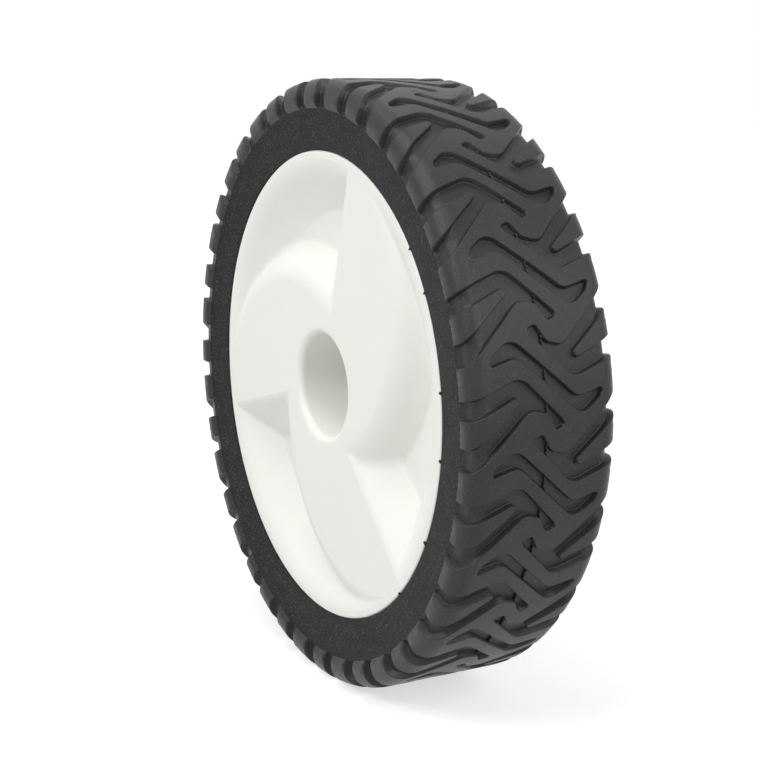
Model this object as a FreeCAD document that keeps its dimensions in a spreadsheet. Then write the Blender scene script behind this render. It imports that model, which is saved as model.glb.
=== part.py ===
import FreeCAD, Part
import math
import os
import Sketcher

# Lawn mower wheel: a moulded plastic rim with three swirl pockets and a rubber tyre with a block tread.
# Origin at the wheel's centre, axle along Y, the outer face towards -Y, +Z up.

doc = FreeCAD.newDocument("mower_wheel")

# Driving sizes, in millimetres, degrees and counts
SIZES = [
    ("tyre_outer_dia", 203.2),
    ("tyre_width", 50.8),
    ("shoulder_round", 5.8),
    ("side_step_radius", 92.0),
    ("side_step_rise", 1.2),
    ("groove_depth", 2.2),
    ("groove_floor_setback", 2.0),
    ("groove_floor_round", 3.6),
    ("face_setback", 3.0),
    ("flange_radius", 78.4),
    ("flange_thickness", 3.0),
    ("flange_edge_round", 0.8),
    ("seat_radius", 75.0),
    ("lock_radius", 77.5),
    ("lock_half_top", 3.2),
    ("lock_half_base", 4.4),
    ("tyre_seat_clearance", 0.0),
    ("bore_dia", 34.925),
    ("bore_lip_round", 2.5),
    ("hub_outer_radius", 23.5),
    ("hub_draft", 0.6),
    ("barrel_wall", 4.0),
    ("barrel_draft", 0.6),
    ("web_thickness", 3.6),
    ("inner_corner_round", 2.0),
    ("rib_count", 6),
    ("rib_thickness", 3.0),
    ("rib_setback", 7.0),
    ("rib_first_angle", 15.0),
    ("pocket_count", 3),
    ("pocket_first_angle", 75.0),
    ("pocket_depth", 10.0),
    ("pocket_rim_radius", 73.5),
    ("pocket_rim_slope", 0.667),
    ("pocket_lead_slope", 0.68),
    ("pocket_swirl_slope", 1.15),
    ("pocket_swirl_x", -25.5),
    ("pocket_swirl_z", 17.0),
    ("pocket_swirl_radius", 58.0),
    ("pocket_swirl_round", 12.0),
    ("pocket_dish_round", 12.0),
    ("pocket_lead_round", 6.0),
    ("swirl_mouth_rise", 0.05),
    ("dish_mouth_rise", 0.08),
    ("lead_mouth_rise", 0.11),
    ("pocket_foot_round", 2.0),
    ("pocket_corner_round", 4.0),
    ("pocket_edge_round", 2.0),
    ("pocket_wall", 3.2),
    ("tread_pitches", 20),
    ("tread_first_angle", 9.85),
    ("zig_tip_axial", 18.75),
    ("zig_tip_along", 4.5),
    ("zig_knee_axial", 11.5),
    ("zig_knee_along", 12.8),
    ("zig_elbow_axial", 8.0),
    ("zig_elbow_along", 5.7),
    ("zig_knee_round", 5.0),
    ("zig_elbow_round", 4.0),
    ("fork_centre_along", 14.5),
    ("fork_mouth_axial", 27.5),
    ("fork_mouth_upper", 6.0),
    ("fork_knee_axial", 9.2),
    ("fork_knee_along", 0.6),
    ("fork_end_axial", 6.2),
    ("fork_end_along", 14.2),
    ("fork_heel_axial", 2.3),
    ("fork_heel_along", 15.6),
    ("fork_waist_axial", 0.7),
    ("fork_waist_along", 10.4),
    ("fork_brow_axial", 6.3),
    ("fork_brow_along", 8.9),
    ("fork_bend_axial", 17.5),
    ("fork_bend_along", 18.9),
    ("fork_mouth_lower", 34.0),
    ("wedge_tip_axial", 9.8),
    ("wedge_tip_along", 5.4),
    ("wedge_mouth_upper", 12.0),
    ("wedge_mouth_lower", 24.0),
    ("fork_knee_round", 3.0),
    ("fork_end_round", 1.2),
    ("fork_brow_round", 2.0),
    ("wedge_tip_round", 0.8),
]

sheet = doc.addObject("Spreadsheet::Sheet", "sizes")
for row, (alias, value) in enumerate(SIZES, start=1):
    sheet.set("A%d" % row, alias)
    sheet.set("B%d" % row, str(value))
    sheet.setAlias("B%d" % row, alias)
doc.recompute()


def size(alias):
    return float(sheet.get(alias))


def origin_plane(body, role):
    return [item for item in body.Origin.OriginFeatures if item.Role == role][0]


def bound_outline(body, name, role, corners):
    """Closed straight outline whose corners are held by distances bound to the sheet."""
    sketch = body.newObject("Sketcher::SketchObject", name)
    sketch.AttachmentSupport = (origin_plane(body, role), [""])
    sketch.MapMode = "FlatFace"
    points = [FreeCAD.Vector(sketch.evalExpression(across), sketch.evalExpression(up), 0)
              for across, up in corners]
    count = len(points)
    for i in range(count):
        sketch.addGeometry(Part.LineSegment(points[i], points[(i + 1) % count]), False)
    for i in range(count):
        sketch.addConstraint(Sketcher.Constraint("Coincident", i, 2, (i + 1) % count, 1))
    for i, (across, up) in enumerate(corners):
        for kind, value, expression in (("DistanceX", points[i].x, across), ("DistanceY", points[i].y, up)):
            if expression == "0":
                sketch.addConstraint(Sketcher.Constraint("PointOnObject", i, 1, -2))
                continue
            index = sketch.addConstraint(Sketcher.Constraint(kind, -1, 1, i, 1, value))
            sketch.setExpression("Constraints[%d]" % index, expression)
    doc.recompute()
    return sketch


def revolved_body(name, role, axis, corners):
    body = doc.addObject("PartDesign::Body", name)
    sketch = bound_outline(body, name + "_profile", role, corners)
    turn = body.newObject("PartDesign::Revolution", name + "_turned")
    turn.Profile = sketch
    turn.ReferenceAxis = (sketch, [axis])
    turn.Angle = 360
    doc.recompute()
    return body


def round_rings(body, name, rings, alias):
    """Round the circular edges that lie at the given heights along the axis and radii."""
    base = body.Tip
    names = []
    for i, edge in enumerate(base.Shape.Edges, start=1):
        if edge.Curve.TypeId != "Part::GeomCircle":
            continue
        for height, radius in rings:
            along = edge.Curve.Center.dot(edge.Curve.Axis) * (1 if edge.Curve.Axis.y + edge.Curve.Axis.z > 0 else -1)
            if abs(along - height) < 0.01 and abs(edge.Curve.Radius - radius) < 0.01:
                names.append("Edge%d" % i)
    fillet = body.newObject("PartDesign::Fillet", name)
    fillet.Base = (base, names)
    fillet.setExpression("Radius", "sizes." + alias)
    doc.recompute()
    return fillet


# Shared half widths, as expressions of the sheet
RIM_HALF = "(sizes.tyre_width / 2 - sizes.face_setback)"
FLANGE_IN = "(sizes.tyre_width / 2 - sizes.face_setback - sizes.flange_thickness)"
rim_half = size("tyre_width") / 2 - size("face_setback")
tyre_half = size("tyre_width") / 2
tyre_radius = size("tyre_outer_dia") / 2
bore_radius = size("bore_dia") / 2

# Rim blank: front web, flanged barrel with a locking ridge for the tyre, hub tube and bore
WEB_BACK = "(-" + RIM_HALF + " + sizes.web_thickness)"
rim_blank = revolved_body("rim_blank", "YZ_Plane", "H_Axis", [
    ("-" + RIM_HALF, "sizes.bore_dia / 2"),
    ("-" + RIM_HALF, "sizes.flange_radius"),
    ("-" + FLANGE_IN, "sizes.flange_radius"),
    ("-" + FLANGE_IN, "sizes.seat_radius"),
    ("-sizes.lock_half_base", "sizes.seat_radius"),
    ("-sizes.lock_half_top", "sizes.lock_radius"),
    ("sizes.lock_half_top", "sizes.lock_radius"),
    ("sizes.lock_half_base", "sizes.seat_radius"),
    (FLANGE_IN, "sizes.seat_radius"),
    (FLANGE_IN, "sizes.flange_radius"),
    (RIM_HALF, "sizes.flange_radius"),
    (RIM_HALF, "sizes.seat_radius - sizes.barrel_wall"),
    (WEB_BACK, "sizes.seat_radius - sizes.barrel_wall - sizes.barrel_draft"),
    (WEB_BACK, "sizes.hub_outer_radius"),
    (RIM_HALF, "sizes.hub_outer_radius - sizes.hub_draft"),
    (RIM_HALF, "sizes.bore_dia / 2"),
])
barrel_in = size("seat_radius") - size("barrel_wall") - size("barrel_draft")
round_rings(rim_blank, "bore_lip", [(-rim_half, bore_radius)], "bore_lip_round")
round_rings(rim_blank, "flange_edges",
            [(-rim_half, size("flange_radius")), (rim_half, size("flange_radius"))], "flange_edge_round")
round_rings(rim_blank, "web_corners",
            [(-rim_half + size("web_thickness"), barrel_in),
             (-rim_half + size("web_thickness"), size("hub_outer_radius"))], "inner_corner_round")

# Radial ribs on the back, from the hub tube to the barrel
rib_sketch = bound_outline(rim_blank, "rib_outline", "XZ_Plane", [
    ("sizes.hub_outer_radius - sizes.hub_draft - 1.5", "-sizes.rib_thickness / 2"),
    ("sizes.seat_radius - sizes.barrel_wall + 1.5", "-sizes.rib_thickness / 2"),
    ("sizes.seat_radius - sizes.barrel_wall + 1.5", "sizes.rib_thickness / 2"),
    ("sizes.hub_outer_radius - sizes.hub_draft - 1.5", "sizes.rib_thickness / 2"),
])
rib_sketch.setExpression("AttachmentOffset.Base.z", RIM_HALF + " - sizes.web_thickness / 2")
rib_sketch.setExpression("AttachmentOffset.Rotation.Angle", "sizes.rib_first_angle")
doc.recompute()
before_ribs = rim_blank.Shape.Volume
rib = rim_blank.newObject("PartDesign::Pad", "rib")
rib.Profile = rib_sketch
rib.setExpression("Length", "2 * " + RIM_HALF + " - sizes.web_thickness / 2 - sizes.rib_setback")
rib.Reversed = True
doc.recompute()
ribs = rim_blank.newObject("PartDesign::PolarPattern", "ribs")
ribs.Originals = [rib]
ribs.Axis = (origin_plane(rim_blank, "Y_Axis"), [""])
ribs.Angle = 360
ribs.setExpression("Occurrences", "sizes.rib_count")
rim_blank.Tip = ribs
doc.recompute()
if rim_blank.Shape.Volume < before_ribs + 1000:
    raise RuntimeError("the ribs added nothing")

# Pocket forms are laid out with the face in the XY plane, the outside towards +Z, and the leading edge on X.
# Each rounded mouth starts a little above the face, so that it meets the face at a slight angle.
PIT = "sizes.pocket_depth"
BOWL = "(sizes.pocket_depth + sizes.pocket_wall)"
ABOVE_FACE = "1"


def bowl_run(slope):
    """How far the bowl's outer skin stands off along the face, for a wall of a given slope."""
    return "(sizes.pocket_wall * sqrt(1 + pow(sizes.%s; 2)) / sizes.%s)" % (slope, slope)


def pit_dish():
    """The pit's side towards the flange: a cone whose mouth is rounded out to the flange's edge."""
    outside = "sizes.flange_radius + 8"
    dish = revolved_body("pit_dish", "XZ_Plane", "V_Axis", [
        ("0", "-" + PIT),
        ("sizes.pocket_rim_radius - %s / sizes.pocket_rim_slope" % PIT, "-" + PIT),
        ("sizes.pocket_rim_radius + sizes.dish_mouth_rise / sizes.pocket_rim_slope", "sizes.dish_mouth_rise"),
        (outside, "sizes.dish_mouth_rise"),
        (outside, ABOVE_FACE),
        ("0", ABOVE_FACE),
    ])
    rise = size("dish_mouth_rise")
    round_rings(dish, "pit_dish_mouth",
                [(rise, size("pocket_rim_radius") + rise / size("pocket_rim_slope"))], "pocket_dish_round")
    return dish


def pit_lead():
    """The pit's leading side: a straight sloping wall with a rounded mouth."""
    lead = doc.addObject("PartDesign::Body", "pit_lead")
    outline = bound_outline(lead, "pit_lead_profile", "YZ_Plane", [
        ("-sizes.lead_mouth_rise / sizes.pocket_lead_slope", "sizes.lead_mouth_rise"),
        ("%s / sizes.pocket_lead_slope" % PIT, "-" + PIT),
        ("2 * sizes.pocket_rim_radius", "-" + PIT),
        ("2 * sizes.pocket_rim_radius", ABOVE_FACE),
        ("-2 * sizes.pocket_lead_round", ABOVE_FACE),
        ("-2 * sizes.pocket_lead_round", "sizes.lead_mouth_rise"),
    ])
    outline.setExpression("AttachmentOffset.Base.z", "-sizes.pocket_rim_radius / 2")
    wedge = lead.newObject("PartDesign::Pad", "pit_lead_wedge")
    wedge.Profile = outline
    wedge.setExpression("Length", "3 * sizes.pocket_rim_radius")
    doc.recompute()
    mouth = []
    for i, edge in enumerate(wedge.Shape.Edges, start=1):
        ends = [vertex.Point for vertex in edge.Vertexes]
        if all(abs(end.z - size("lead_mouth_rise")) < 0.001 and abs(end.y) < 1 for end in ends):
            mouth.append("Edge%d" % i)
    soft = lead.newObject("PartDesign::Fillet", "pit_lead_mouth")
    soft.Base = (wedge, mouth)
    soft.setExpression("Radius", "sizes.pocket_lead_round")
    doc.recompute()
    return lead


def bowl_cone():
    """The bowl's skin towards the flange, from inside the web to its back."""
    edge = "sizes.pocket_rim_radius + " + bowl_run("pocket_rim_slope")
    cone = doc.addObject("Part::Cone", "bowl_cone")
    cone.setExpression("Radius1", "%s - %s / sizes.pocket_rim_slope" % (edge, BOWL))
    cone.setExpression("Radius2", edge + " - sizes.web_thickness / 2 / sizes.pocket_rim_slope")
    cone.setExpression("Height", BOWL + " - sizes.web_thickness / 2")
    cone.setExpression("Placement.Base.z", "-" + BOWL)
    return cone


def bowl_lead():
    """The bowl's skin along the leading wall: a tilted block."""
    lead = doc.addObject("Part::Box", "bowl_lead")
    for side in ("Length", "Width", "Height"):
        lead.setExpression(side, "4 * sizes.pocket_rim_radius")
    tilt = FreeCAD.Rotation(FreeCAD.Vector(1, 0, 0), 90 - math.degrees(math.atan(size("pocket_lead_slope"))))
    corner = FreeCAD.Vector(-size("pocket_rim_radius") / 2, 0, -2 * size("pocket_rim_radius"))
    shift = FreeCAD.Vector(0, -lead.evalExpression(bowl_run("pocket_lead_slope")), 0)
    lead.Placement = FreeCAD.Placement(shift + tilt.multVec(corner), tilt)
    return lead


def swirl_form(name, crown_radius, crown_top, bottom):
    """The raised middle that curls into a pocket, down to the pocket's bottom."""
    swirl = revolved_body(name, "XZ_Plane", "V_Axis", [
        ("0", "-%s - 4" % bottom),
        ("3 * sizes.pocket_rim_radius", "-%s - 4" % bottom),
        ("3 * sizes.pocket_rim_radius", "-" + bottom),
        ("%s + %s / sizes.pocket_swirl_slope" % (crown_radius, bottom), "-" + bottom),
        ("%s - %s / sizes.pocket_swirl_slope" % (crown_radius, crown_top), crown_top),
        ("0", crown_top),
    ])
    swirl.setExpression("Placement.Base.x", "sizes.pocket_swirl_x")
    swirl.setExpression("Placement.Base.y", "sizes.pocket_swirl_z")
    doc.recompute()
    return swirl


def pit_swirl():
    """The swirl with a wide rounded crown and a small round at its foot."""
    swirl = swirl_form("pit_swirl", "sizes.pocket_swirl_radius", "sizes.swirl_mouth_rise", PIT)
    depth, slope, rise = size("pocket_depth"), size("pocket_swirl_slope"), size("swirl_mouth_rise")
    radius = size("pocket_swirl_radius")
    round_rings(swirl, "pit_swirl_crown", [(rise, radius - rise / slope)], "pocket_swirl_round")
    round_rings(swirl, "pit_swirl_foot", [(-depth, radius + depth / slope)], "pocket_foot_round")
    return swirl


def pit_of(name, dish, lead, swirl):
    """What lies inside the dish and past the leading wall, less the swirl."""
    inside = doc.addObject("Part::Common", name + "_inside")
    inside.Base = dish
    inside.Tool = lead
    form = doc.addObject("Part::Cut", name)
    form.Base = inside
    form.Tool = swirl
    doc.recompute()
    return form


def around_face(name, form):
    """The same form at each pocket's place on the face."""
    copies = []
    for k in range(int(size("pocket_count"))):
        angle = size("pocket_first_angle") + k * 360 / size("pocket_count")
        turn = FreeCAD.Rotation(FreeCAD.Vector(0, 1, 0), -angle)
        face = turn.multiply(FreeCAD.Rotation(FreeCAD.Vector(1, 0, 0), 90))
        copy = form.Shape.copy()
        copy.Placement = FreeCAD.Placement(FreeCAD.Vector(0, -rim_half, 0), face)
        copies.append(copy)
    group = doc.addObject("Part::Feature", name)
    group.Shape = Part.makeCompound(copies)
    return group


def wall_kind(face):
    """Which side of the pit a face belongs to, or None for the parts above the wheel's face."""
    kind = type(face.Surface).__name__
    if kind == "Plane" and min(abs(face.Surface.Axis.y), abs(face.Surface.Axis.z)) > 0.1:
        return "lead"
    if kind == "Cylinder":
        return "lead"
    if kind == "Plane" and abs(face.CenterOfMass.z + size("pocket_depth")) < 0.01:
        return "floor"
    if kind in ("Toroid", "Cone"):
        return "swirl" if abs(face.Surface.Center.x) > 1 else "dish"
    return None


def rounded_pit(name, form):
    """Rounds along the edges where two sides of the pit meet, largest between leading wall and swirl."""
    shape = form.Shape
    rounds = []
    for i, edge in enumerate(shape.Edges, start=1):
        meeting = [face for face in shape.Faces if any(other.isSame(edge) for other in face.Edges)]
        kinds = {wall_kind(face) for face in meeting}
        if len(kinds) != 2 or None in kinds:
            continue
        radius = size("pocket_edge_round")
        if kinds == {"lead", "swirl"}:
            radius = size("pocket_corner_round")
        rounds.append((i, radius, radius))
    soft = doc.addObject("Part::Fillet", name)
    soft.Base = form
    soft.Edges = rounds
    doc.recompute()
    return soft


pocket = rounded_pit("pocket_rounded", pit_of("pocket", pit_dish(), pit_lead(), pit_swirl()))
bowl_crown = "(sizes.pocket_swirl_radius - %s)" % bowl_run("pocket_swirl_slope")
bowl = pit_of("bowl", bowl_cone(), bowl_lead(), swirl_form("bowl_swirl", bowl_crown, ABOVE_FACE, BOWL))
pockets = around_face("pockets", pocket)
bowls = around_face("bowls", bowl)

rim_solid = doc.addObject("Part::Fuse", "rim_solid")
rim_solid.Base = rim_blank
rim_solid.Tool = bowls
rim = doc.addObject("Part::Cut", "rim")
rim.Base = rim_solid
rim.Tool = pockets
rim.Label = "rim"
doc.recompute()

# Tyre: the inside follows the rim's barrel, the outside is rounded at the shoulders
SEAT = "(sizes.%s + sizes.tyre_seat_clearance)"
INSIDE = [
    (RIM_HALF, SEAT % "flange_radius"),
    (FLANGE_IN, SEAT % "flange_radius"),
    (FLANGE_IN, SEAT % "seat_radius"),
    ("sizes.lock_half_base", SEAT % "seat_radius"),
    ("sizes.lock_half_top", SEAT % "lock_radius"),
    ("-sizes.lock_half_top", SEAT % "lock_radius"),
    ("-sizes.lock_half_base", SEAT % "seat_radius"),
    ("-" + FLANGE_IN, SEAT % "seat_radius"),
    ("-" + FLANGE_IN, SEAT % "flange_radius"),
    ("-" + RIM_HALF, SEAT % "flange_radius"),
]
HALF = "(sizes.tyre_width / 2)"
STEP = "(sizes.tyre_width / 2 - sizes.side_step_rise)"
FLOOR = "(sizes.tyre_width / 2 - sizes.groove_floor_setback)"
OUTER = "sizes.tyre_outer_dia / 2"

tyre_blank = revolved_body("tyre_blank", "YZ_Plane", "H_Axis", INSIDE + [
    ("-" + STEP, "sizes.side_step_radius"),
    ("-" + HALF, "sizes.side_step_radius + sizes.side_step_rise"),
    ("-" + HALF, OUTER),
    (HALF, OUTER),
    (HALF, "sizes.side_step_radius + sizes.side_step_rise"),
    (STEP, "sizes.side_step_radius"),
])
round_rings(tyre_blank, "shoulders", [(-tyre_half, tyre_radius), (tyre_half, tyre_radius)], "shoulder_round")

# The core is the tyre below the groove floors
tyre_core = revolved_body("tyre_core", "YZ_Plane", "H_Axis", INSIDE + [
    ("-" + STEP, "sizes.side_step_radius"),
    ("-" + FLOOR, OUTER + " - sizes.groove_depth"),
    (FLOOR, OUTER + " - sizes.groove_depth"),
    (STEP, "sizes.side_step_radius"),
])
floor_half = tyre_half - size("groove_floor_setback")
floor_radius = tyre_radius - size("groove_depth")
round_rings(tyre_core, "groove_floors",
            [(-floor_half, floor_radius), (floor_half, floor_radius)], "groove_floor_round")


def rounded_face(corners):
    """Flat face at the tread's radius: straight edges and a tangent arc at each rounded corner."""
    count = len(corners)
    spots = [FreeCAD.Vector(0, axial, along) for axial, along, _ in corners]
    joins = []
    for i, (_, _, radius) in enumerate(corners):
        back = (spots[i - 1] - spots[i]).normalize()
        ahead = (spots[(i + 1) % count] - spots[i]).normalize()
        half_angle = back.getAngle(ahead) / 2
        cut = radius / math.tan(half_angle)
        middle = (back + ahead).normalize() * (radius / math.sin(half_angle) - radius)
        joins.append((spots[i] + back * cut, spots[i] + middle, spots[i] + ahead * cut, radius))
    edges = []
    for i, (start, middle, end, radius) in enumerate(joins):
        if radius > 0:
            edges.append(Part.Arc(start, middle, end).toShape())
        edges.append(Part.LineSegment(end, joins[(i + 1) % count][0]).toShape())
    face = Part.Face(Part.Wire(edges))
    face.translate(FreeCAD.Vector(size("side_step_radius") - 4, 0, 0))
    return face


def turned_about_axle(shape, angle):
    copy = shape.copy()
    copy.rotate(FreeCAD.Vector(0, 0, 0), FreeCAD.Vector(0, 1, 0), -angle)
    return copy


def groove(corners):
    """A groove's prism, cut off at the groove floor."""
    prism = rounded_face(corners).extrude(FreeCAD.Vector(tyre_radius - size("side_step_radius") + 8, 0, 0))
    return prism.cut(tyre_core.Shape)


# Zigzag groove across the middle, the same when turned half a turn about its centre
zig_half = [
    (-size("zig_tip_axial"), size("zig_tip_along"), 0),
    (-size("zig_knee_axial"), size("zig_knee_along"), size("zig_knee_round")),
    (size("zig_elbow_axial"), -size("zig_elbow_along"), size("zig_elbow_round")),
]
zig = groove(zig_half + [(-axial, -along, radius) for axial, along, radius in zig_half])

# Forked groove from one shoulder to past the middle, round a standing wedge
fork_corners = [
    (-size("fork_mouth_axial"), -size("fork_mouth_upper"), 0),
    (-size("fork_knee_axial"), size("fork_knee_along"), size("fork_knee_round")),
    (size("fork_end_axial"), -size("fork_end_along"), size("fork_end_round")),
    (size("fork_heel_axial"), -size("fork_heel_along"), size("fork_end_round")),
    (-size("fork_waist_axial"), -size("fork_waist_along"), size("fork_brow_round")),
    (-size("fork_brow_axial"), -size("fork_brow_along"), size("fork_brow_round")),
    (-size("fork_bend_axial"), -size("fork_bend_along"), 0),
    (-size("fork_mouth_axial"), -size("fork_mouth_lower"), 0),
    (-size("fork_mouth_axial"), -size("wedge_mouth_lower"), 0),
    (-size("wedge_tip_axial"), -size("wedge_tip_along"), size("wedge_tip_round")),
    (-size("fork_mouth_axial"), -size("wedge_mouth_upper"), 0),
]
middle = size("fork_centre_along")
fork_near = groove([(axial, along + middle, radius) for axial, along, radius in fork_corners])
fork_far = groove([(-axial, -along - middle, radius) for axial, along, radius in fork_corners])
fork_turn = math.degrees(middle / tyre_radius)

cutters = []
for k in range(int(size("tread_pitches"))):
    centre = size("tread_first_angle") + k * 360 / size("tread_pitches")
    cutters.append(turned_about_axle(zig, centre))
    cutters.append(turned_about_axle(fork_near, centre - fork_turn))
    cutters.append(turned_about_axle(fork_far, centre + fork_turn))
tread = doc.addObject("Part::Feature", "tread_grooves")
tread.Shape = Part.makeCompound(cutters)

tyre = doc.addObject("Part::Cut", "tyre")
tyre.Base = tyre_blank
tyre.Tool = tread
tyre.Refine = False
tyre.Label = "tyre"
doc.recompute()

# Every object and both pieces are checked before anything is written
for item in doc.Objects:
    if "Invalid" in item.State or "Error" in item.State:
        raise RuntimeError("failed object: " + item.Name)
os.makedirs("parts", exist_ok=True)
for piece in (rim, tyre):
    shape = piece.Shape
    if shape.isNull() or not shape.isValid() or len(shape.Solids) != 1:
        raise RuntimeError("%s is not one valid solid: %d" % (piece.Label, len(shape.Solids)))
for piece in (rim, tyre):
    piece.Shape.exportStep("parts/%s.step" % piece.Label)
    print(piece.Label, "volume", round(piece.Shape.Volume), "faces", len(piece.Shape.Faces))
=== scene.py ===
# %% [markdown]
# # A lawn mower wheel
# This lesson dresses a small push-mower wheel: a one-piece cream plastic rim inside a one-piece black
# rubber tyre. The solid model comes in first as a fixed frame, in metres, with the axle along Y, the
# outer face towards -Y and the tread's lowest point on the floor. Everything that follows is built in
# that same frame, so no piece ever has to be moved into place.

# %% Load the solid model
import math

import bmesh
import bpy
import numpy as np
from mathutils import Matrix, Vector
from mathutils.geometry import delaunay_2d_cdt


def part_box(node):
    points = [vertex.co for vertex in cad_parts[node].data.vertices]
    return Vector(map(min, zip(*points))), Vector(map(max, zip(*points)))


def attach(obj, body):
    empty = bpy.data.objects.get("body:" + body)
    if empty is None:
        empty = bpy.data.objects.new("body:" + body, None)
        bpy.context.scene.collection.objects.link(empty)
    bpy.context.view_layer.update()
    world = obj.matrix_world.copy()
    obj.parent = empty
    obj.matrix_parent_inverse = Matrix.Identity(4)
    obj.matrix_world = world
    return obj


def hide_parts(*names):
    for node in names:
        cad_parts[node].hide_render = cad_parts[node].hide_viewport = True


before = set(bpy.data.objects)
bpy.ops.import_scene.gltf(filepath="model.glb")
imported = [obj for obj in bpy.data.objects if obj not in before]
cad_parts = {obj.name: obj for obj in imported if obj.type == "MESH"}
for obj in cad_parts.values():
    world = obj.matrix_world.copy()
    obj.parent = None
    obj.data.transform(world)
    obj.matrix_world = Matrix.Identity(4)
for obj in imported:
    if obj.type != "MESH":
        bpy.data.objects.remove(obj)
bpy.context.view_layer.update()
rim_low, rim_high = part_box("rim")
tyre_low, tyre_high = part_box("tyre")

# %% [markdown]
# ## The sizes that shape the tyre
# The tread is drawn in millimetres, because that is how a mould maker would write it. The outside
# sizes are read from the solid model. The rest are the mould's own: how deep a groove is at the
# shoulder and at mid-tread, how round the shoulder is, and where the tread ends on the sidewall in a
# small step.

# %% Sizes of the tyre
MM = 0.001
tread_radius = (tyre_high.z - tyre_low.z) / 2 / MM
half_width = (tyre_high.y - tyre_low.y) / 2 / MM
rim_face = (rim_high.y - rim_low.y) / 2 / MM
rim_edge_radius = (rim_high.z - rim_low.z) / 2 / MM
shoulder_round = 5.8
step_radius = 92.0
step_rise = 1.2
groove_depth = 2.2
middle_groove_depth = 1.7
pitch_count = 20
first_pitch_angle = math.radians(9.85)
pitch_length = 2 * math.pi * tread_radius / pitch_count
crown_edge = half_width - shoulder_round
print("tread radius", round(tread_radius, 2), "half width", round(half_width, 2), "pitch", round(pitch_length, 3))

# %% [markdown]
# ## Unrolling the tread
# A tread pattern repeats around the wheel, so it is easiest to draw one repeat flat, like a rubber
# stamp, and then bend it round the tyre. The flat drawing has two directions: `across` runs over the
# tread from one sidewall step to the other, and `along` runs round the wheel. Two curves tell where a
# flat point lands: the land curve for the tops of the blocks and the floor curve for the bottoms of
# the grooves. They meet at the step on the sidewall, so a groove that runs off the shoulder ends there
# against a small ledge, just as the moulded one does. The points of that edge and that ledge are listed
# by how far they lie inside the tyre's side and above or below the step's edge.

# %% The land curve and the floor curve
step_foot = (half_width - step_rise, step_radius)
land_edge = [(0.0, 0.5), (0.18, -0.05)]
floor_ledge = [(groove_depth, 0.1), (groove_depth - 0.15, -0.75)]


def half_section():
    """Pairs of land and floor points (distance from mid-tread, radius), from mid-tread to the step."""
    land = [(0.0, tread_radius)]
    floor = [(0.0, tread_radius - middle_groove_depth)]
    centre = (crown_edge, tread_radius - shoulder_round)
    floor_round = shoulder_round - groove_depth
    for degrees in range(0, 91, 9):
        across, up = math.sin(math.radians(degrees)), math.cos(math.radians(degrees))
        land.append((centre[0] + shoulder_round * across, centre[1] + shoulder_round * up))
        floor.append((centre[0] + floor_round * across, centre[1] + floor_round * up))
    edge_radius = step_radius + step_rise
    land += [(half_width - inset, edge_radius + lift) for inset, lift in land_edge]
    floor += [(half_width - inset, edge_radius + lift) for inset, lift in floor_ledge]
    return np.array(land + [step_foot]), np.array(floor + [step_foot])


land_half, floor_half = half_section()
section_along = np.concatenate([[0.0], np.cumsum(np.linalg.norm(np.diff(land_half, axis=0), axis=1))])
across_end = float(section_along[-1])
across_shoulder = float(section_along[-4])


def on_section(half, across):
    """Points (y, radius) of a half section at places across the tread, on either side."""
    y = np.interp(np.abs(across), section_along, half[:, 0]) * np.sign(across)
    radius = np.interp(np.abs(across), section_along, half[:, 1])
    return np.stack([y, radius], axis=-1)


def across_of(y):
    """Where a point that is y mm from mid-tread, seen from above, lies across the flat drawing."""
    distance = abs(y)
    if distance <= crown_edge:
        place = distance
    elif distance < half_width:
        place = crown_edge + shoulder_round * math.asin((distance - crown_edge) / shoulder_round)
    else:
        place = min(across_shoulder + distance - half_width, across_end)
    return math.copysign(place, y)


def y_of(across):
    """The reverse of across_of, for places short of the sidewall."""
    place = abs(across)
    if place > crown_edge:
        turn = min((place - crown_edge) / shoulder_round, math.pi / 2)
        place = crown_edge + shoulder_round * math.sin(turn)
    return math.copysign(place, across)


print("the flat drawing is", round(2 * across_end, 2), "mm across, and the shoulder ends at", round(across_shoulder, 2))

# %% [markdown]
# ## The outlines of the grooves
# Each repeat has three grooves. A bent zig lies across the middle, and on each side a fork comes in
# from the shoulder: one wide groove with a wedge of rubber left standing in it. The far fork is the
# near one turned half a turn. Corners are listed with a rounding radius each, and a short helper turns
# a list of corners into a smooth line.


# %% Round the corners of a line
arc_spacing = 0.6
least_arc_steps = 5
most_of_a_side = 0.48


def rounded_corner(before, corner, after, radius):
    """Points of the arc that rounds one corner."""
    corner = np.array(corner, float)
    to_before = np.array(before, float) - corner
    to_after = np.array(after, float) - corner
    length_before, length_after = np.linalg.norm(to_before), np.linalg.norm(to_after)
    to_before, to_after = to_before / length_before, to_after / length_after
    half_turn = math.acos(np.clip(to_before @ to_after, -1, 1)) / 2
    if radius <= 0 or half_turn > 1.55:
        return [corner]
    setback = min(radius / math.tan(half_turn), most_of_a_side * length_before, most_of_a_side * length_after)
    radius = setback * math.tan(half_turn)
    bisector = (to_before + to_after) / np.linalg.norm(to_before + to_after)
    centre = corner + bisector * radius / math.sin(half_turn)
    start = corner + to_before * setback - centre
    sweep = math.pi - 2 * half_turn
    if start[0] * (corner - centre)[1] - start[1] * (corner - centre)[0] < 0:
        sweep = -sweep
    steps = max(least_arc_steps, int(abs(sweep) * radius / arc_spacing))
    turns = [sweep * k / steps for k in range(steps + 1)]
    return [centre + np.array([start[0] * math.cos(t) - start[1] * math.sin(t),
                               start[0] * math.sin(t) + start[1] * math.cos(t)]) for t in turns]


def smooth_line(corners, closed):
    """A line through corners (y, along, radius), with each corner rounded."""
    line = []
    count = len(corners)
    for k, (y, along, radius) in enumerate(corners):
        if not closed and k in (0, count - 1):
            line.append(np.array((y, along), float))
            continue
        line += rounded_corner(corners[k - 1][:2], (y, along), corners[(k + 1) % count][:2], radius)
    return line


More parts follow.
